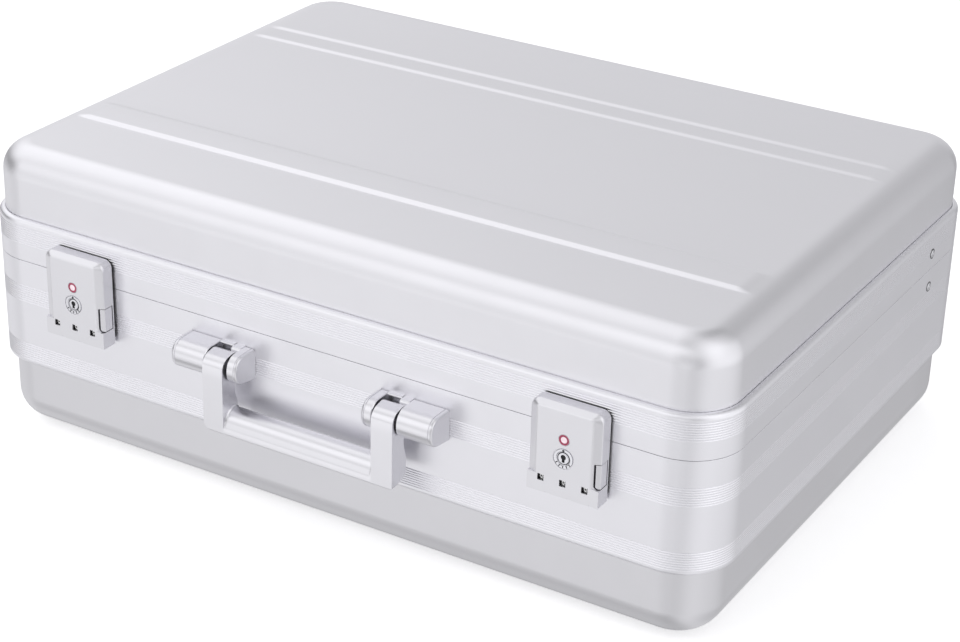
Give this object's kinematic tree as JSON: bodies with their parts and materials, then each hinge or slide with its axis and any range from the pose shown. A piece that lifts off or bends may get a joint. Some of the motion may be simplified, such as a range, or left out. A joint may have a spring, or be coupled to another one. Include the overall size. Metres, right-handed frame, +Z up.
{
  "type": "drone carrying case",
  "caption": "Hard aluminium carrying case with framed shells, hinged lid, combination latches, folding handle and a foam interior with pockets.",
  "frame": {"origin": "on the floor at the centre of the footprint, which runs from the front of the handle to the back of the rear hinges", "axes": "+X along the case's length to the right, +Y towards the rear hinges, +Z up"},
  "size_m": [0.5212, 0.4106, 0.1965],
  "materials": {
    "frame_aluminium": "satin",
    "shell_aluminium": "satin",
    "satin_metal": "satin",
    "polished_steel": "polished",
    "plated_steel": "satin",
    "wheel_plastic": "matte",
    "rubber": "matte",
    "foam": "matte"
  },
  "bodies": {
    "base": {"base_frame": "frame_aluminium", "base_shell": "shell_aluminium", "seal": "rubber", "foam_pad": "foam", "foam_tray": "foam", "foot_front_left": "rubber", "foot_front_right": "rubber", "foot_rear_left": "rubber", "foot_rear_right": "rubber", "handle_bracket_left": "satin_metal", "handle_bracket_right": "satin_metal", "handle_pin_left": "polished_steel", "handle_pin_right": "polished_steel", "latch_plate_left": "plated_steel", "latch_pin_left": "polished_steel", "latch_plate_right": "plated_steel", "latch_pin_right": "polished_steel", "hinge_base_leaf_left": "plated_steel", "hinge_pin_left": "polished_steel", "hinge_base_leaf_right": "plated_steel", "hinge_pin_right": "polished_steel", "stay_base_stud_left": "satin_metal", "stay_base_stud_right": "satin_metal"},
    "lid": {"lid_frame": "frame_aluminium", "lid_shell": "shell_aluminium", "lid_foam": "foam", "keeper_left": "plated_steel", "keeper_right": "plated_steel", "hinge_lid_leaf_left": "plated_steel", "hinge_lid_leaf_right": "plated_steel", "stay_lid_stud_left": "satin_metal", "stay_lid_stud_right": "satin_metal"},
    "handle": {"handle_bail": "satin_metal"},
    "latch_left": {"latch_cover_left": "satin_metal", "wheel_axle_left": "polished_steel"},
    "key_left": {"key_plug_left": "polished_steel"},
    "button_left": {"release_button_left": "satin_metal"},
    "wheel_left_1": {"digit_wheel_left_1": "wheel_plastic"},
    "wheel_left_2": {"digit_wheel_left_2": "wheel_plastic"},
    "wheel_left_3": {"digit_wheel_left_3": "wheel_plastic"},
    "latch_right": {"latch_cover_right": "satin_metal", "wheel_axle_right": "polished_steel"},
    "key_right": {"key_plug_right": "polished_steel"},
    "button_right": {"release_button_right": "satin_metal"},
    "wheel_right_1": {"digit_wheel_right_1": "wheel_plastic"},
    "wheel_right_2": {"digit_wheel_right_2": "wheel_plastic"},
    "wheel_right_3": {"digit_wheel_right_3": "wheel_plastic"},
    "stay_lower_left": {"stay_lower_link_left": "plated_steel"},
    "stay_upper_left": {"stay_upper_link_left": "plated_steel"},
    "stay_lower_right": {"stay_lower_link_right": "plated_steel"},
    "stay_upper_right": {"stay_upper_link_right": "plated_steel"}
  },
  "joints": [
    {"name": "lid_hinge", "type": "hinge", "parent": "base", "child": "lid", "pos_m": [0, 0.2011, 0.1245], "axis": [-1, 0, 0], "range_deg": [0, 95]},
    {"name": "handle_hinge", "type": "hinge", "parent": "base", "child": "handle", "pos_m": [0, -0.1943, 0.1037], "axis": [-1, 0, 0], "range_deg": [0, 95]},
    {"name": "latch_hinge_left", "type": "hinge", "parent": "base", "child": "latch_left", "pos_m": [-0.1735, -0.1873, 0.09], "axis": [1, 0, 0], "range_deg": [0, 90]},
    {"name": "key_turn_left", "type": "hinge", "parent": "latch_left", "child": "key_left", "pos_m": [-0.1735, -0.1933, 0.1124], "axis": [0, 1, 0], "range_deg": [0, 90]},
    {"name": "button_press_left", "type": "slide", "parent": "latch_left", "child": "button_left", "axis": [-1, 0, 0], "range_m": [0, 0.0008], "stiffness_N_per_m": 400},
    {"name": "wheel_turn_left_1", "type": "hinge", "parent": "latch_left", "child": "wheel_left_1", "pos_m": [-0.1874, -0.1902, 0.0965], "axis": [1, 0, 0], "continuous": true},
    {"name": "wheel_turn_left_2", "type": "hinge", "parent": "latch_left", "child": "wheel_left_2", "pos_m": [-0.1735, -0.1902, 0.0965], "axis": [1, 0, 0], "continuous": true},
    {"name": "wheel_turn_left_3", "type": "hinge", "parent": "latch_left", "child": "wheel_left_3", "pos_m": [-0.1596, -0.1902, 0.0965], "axis": [1, 0, 0], "continuous": true},
    {"name": "latch_hinge_right", "type": "hinge", "parent": "base", "child": "latch_right", "pos_m": [0.1735, -0.1873, 0.09], "axis": [1, 0, 0], "range_deg": [0, 90]},
    {"name": "key_turn_right", "type": "hinge", "parent": "latch_right", "child": "key_right", "pos_m": [0.1735, -0.1933, 0.1124], "axis": [0, 1, 0], "range_deg": [0, 90]},
    {"name": "button_press_right", "type": "slide", "parent": "latch_right", "child": "button_right", "axis": [-1, 0, 0], "range_m": [0, 0.0008], "stiffness_N_per_m": 400},
    {"name": "wheel_turn_right_1", "type": "hinge", "parent": "latch_right", "child": "wheel_right_1", "pos_m": [0.1596, -0.1902, 0.0965], "axis": [1, 0, 0], "continuous": true},
    {"name": "wheel_turn_right_2", "type": "hinge", "parent": "latch_right", "child": "wheel_right_2", "pos_m": [0.1735, -0.1902, 0.0965], "axis": [1, 0, 0], "continuous": true},
    {"name": "wheel_turn_right_3", "type": "hinge", "parent": "latch_right", "child": "wheel_right_3", "pos_m": [0.1874, -0.1902, 0.0965], "axis": [1, 0, 0], "continuous": true},
    {"name": "stay_lower_turn_left", "type": "hinge", "parent": "base", "child": "stay_lower_left", "pos_m": [-0.2485, 0.1277, 0.1122], "axis": [-1, 0, 0], "range_deg": [0, 98.5]},
    {"name": "stay_upper_turn_left", "type": "hinge", "parent": "lid", "child": "stay_upper_left", "pos_m": [-0.2485, 0.1277, 0.1353], "axis": [1, 0, 0], "range_deg": [0, 98.5]},
    {"name": "stay_lower_turn_right", "type": "hinge", "parent": "base", "child": "stay_lower_right", "pos_m": [0.2485, 0.1277, 0.1122], "axis": [-1, 0, 0], "range_deg": [0, 98.5]},
    {"name": "stay_upper_turn_right", "type": "hinge", "parent": "lid", "child": "stay_upper_right", "pos_m": [0.2485, 0.1277, 0.1353], "axis": [1, 0, 0], "range_deg": [0, 98.5]}
  ],
  "couplings": [
    {"joint": "stay_lower_turn_left", "follows": "lid_hinge", "ratio": 1.0352},
    {"joint": "stay_upper_turn_left", "follows": "lid_hinge", "ratio": 1.0346},
    {"joint": "stay_lower_turn_right", "follows": "lid_hinge", "ratio": 1.0352},
    {"joint": "stay_upper_turn_right", "follows": "lid_hinge", "ratio": 1.0346}
  ]
}
